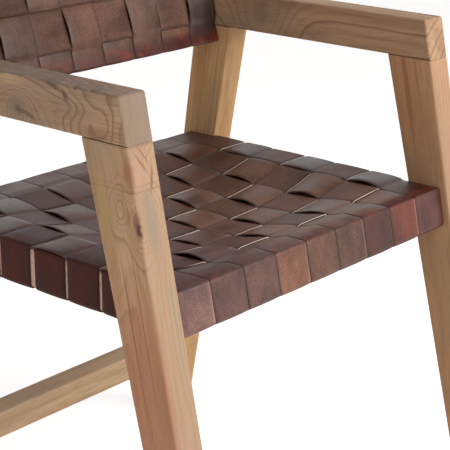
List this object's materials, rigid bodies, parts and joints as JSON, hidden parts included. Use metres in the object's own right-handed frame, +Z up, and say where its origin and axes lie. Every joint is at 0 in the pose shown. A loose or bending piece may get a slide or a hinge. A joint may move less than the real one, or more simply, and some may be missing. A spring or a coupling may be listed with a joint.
{
  "type": "woven leather armchair",
  "caption": "Armchair with two raked, tapered teak side frames, a seat and a leaning back of wide woven leather straps, and a rear stretcher",
  "frame": {"origin": "on the floor, under the middle of the chair's overall width and depth", "axes": "+Z up, the front faces -Y, +X is to the right as seen from the front; pieces called left lie at -X"},
  "size_m": [0.551, 0.5855, 0.836],
  "materials": {
    "teak": "matt oiled, natural grain",
    "teak_frame": "sawn and sanded, unfinished",
    "leather_long": "waxed, semi-matt",
    "leather_cross": "waxed, semi-matt",
    "nylon": "matt",
    "steel": "zinc plated"
  },
  "bodies": {
    "root": {"arm_left": "teak", "arm_right": "teak", "back_bolt_left": "steel", "back_bolt_right": "steel", "back_bottom_rail": "teak_frame", "back_cross_strap_1": "leather_cross", "back_cross_strap_2": "leather_cross", "back_cross_strap_3": "leather_cross", "back_cross_strap_4": "leather_cross", "back_dowel_left": "teak_frame", "back_dowel_right": "teak_frame", "back_left_stile": "teak_frame", "back_long_strap_1": "leather_long", "back_long_strap_2": "leather_long", "back_long_strap_3": "leather_long", "back_long_strap_4": "leather_long", "back_long_strap_5": "leather_long", "back_long_strap_6": "leather_long", "back_long_strap_7": "leather_long", "back_long_strap_8": "leather_long", "back_long_strap_9": "leather_long", "back_right_stile": "teak_frame", "back_top_rail": "teak_frame", "corner_block_front_left": "teak_frame", "corner_block_front_right": "teak_frame", "corner_block_rear_left": "teak_frame", "corner_block_rear_right": "teak_frame", "front_leg_left": "teak", "front_leg_right": "teak", "glide_front_left": "nylon", "glide_front_right": "nylon", "glide_rear_left": "nylon", "glide_rear_right": "nylon", "rear_leg_left": "teak", "rear_leg_right": "teak", "rear_stretcher": "teak", "seat_cross_strap_1": "leather_cross", "seat_cross_strap_2": "leather_cross", "seat_cross_strap_3": "leather_cross", "seat_cross_strap_4": "leather_cross", "seat_cross_strap_5": "leather_cross", "seat_cross_strap_6": "leather_cross", "seat_front_rail": "teak_frame", "seat_left_rail": "teak_frame", "seat_long_strap_1": "leather_long", "seat_long_strap_2": "leather_long", "seat_long_strap_3": "leather_long", "seat_long_strap_4": "leather_long", "seat_long_strap_5": "leather_long", "seat_long_strap_6": "leather_long", "seat_long_strap_7": "leather_long", "seat_long_strap_8": "leather_long", "seat_long_strap_9": "leather_long", "seat_rear_rail": "teak_frame", "seat_right_rail": "teak_frame"}
  },
  "joints": []
}
